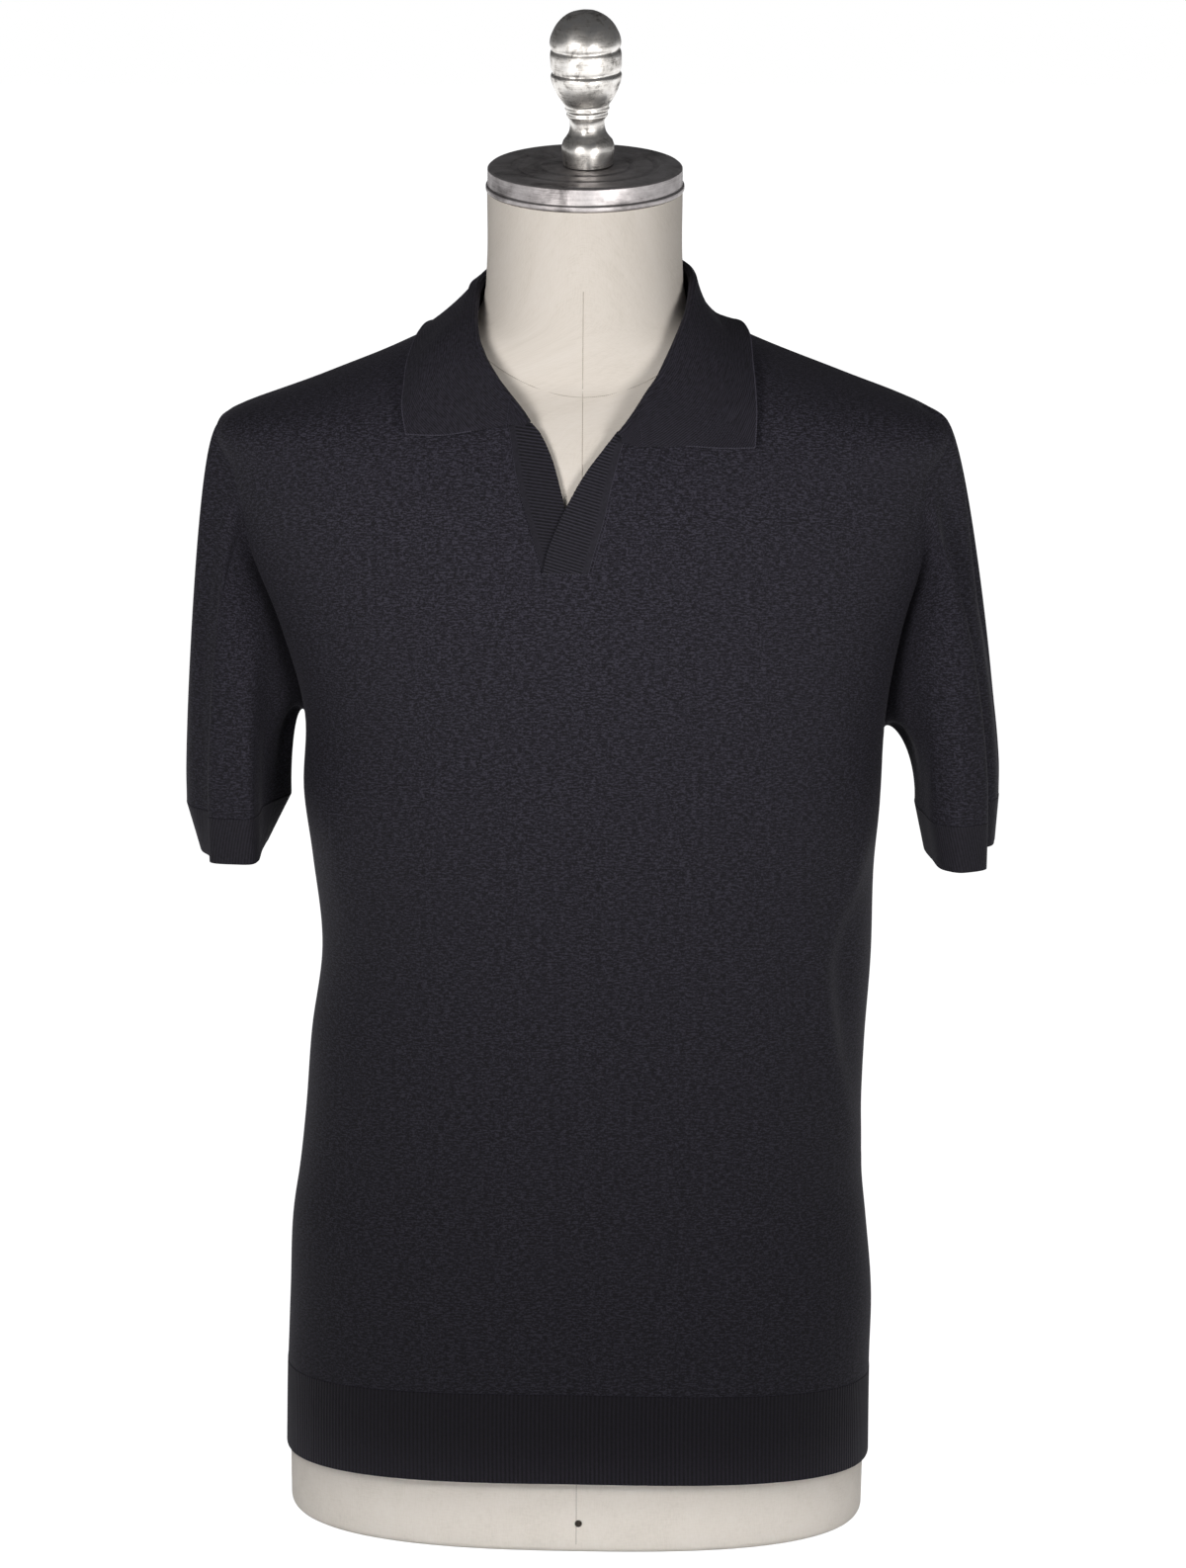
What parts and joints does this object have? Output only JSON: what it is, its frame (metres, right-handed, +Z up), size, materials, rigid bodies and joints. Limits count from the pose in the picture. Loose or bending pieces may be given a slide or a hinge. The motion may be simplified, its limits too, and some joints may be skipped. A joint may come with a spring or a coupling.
{
  "type": "polo shirt on a dress form",
  "caption": "Short-sleeved knitted polo shirt with an open buttonless placket and ribbed hem and cuffs, worn by a limbless canvas dress form with a metal cap and knob.",
  "frame": {"origin": "on the flat base of the dress form, at the middle of its front-to-back depth and under its neck", "axes": "+Z up along the form, -Y towards the front of the shirt, +X towards the wearer's left"},
  "size_m": [0.5032, 0.2456, 0.9347],
  "materials": {
    "fine_knit": "fine heathered charcoal jersey knit",
    "rib_knit": "charcoal ribbed knit",
    "canvas": "smooth off-white canvas",
    "cap_metal": "turned, brushed and darkened on top",
    "knob_metal": "cast and polished by hand",
    "nail_metal": "dark oxide"
  },
  "bodies": {
    "root": {"front": "fine_knit", "back": "fine_knit", "sleeve_left": "fine_knit", "sleeve_right": "fine_knit", "cuff_left": "rib_knit", "cuff_right": "rib_knit", "hem_rib": "rib_knit", "collar": "rib_knit", "placket_over": "rib_knit", "placket_under": "rib_knit", "form_torso": "canvas", "neck_cap": "cap_metal", "finial_knob": "knob_metal", "base_nail": "nail_metal"}
  },
  "joints": []
}
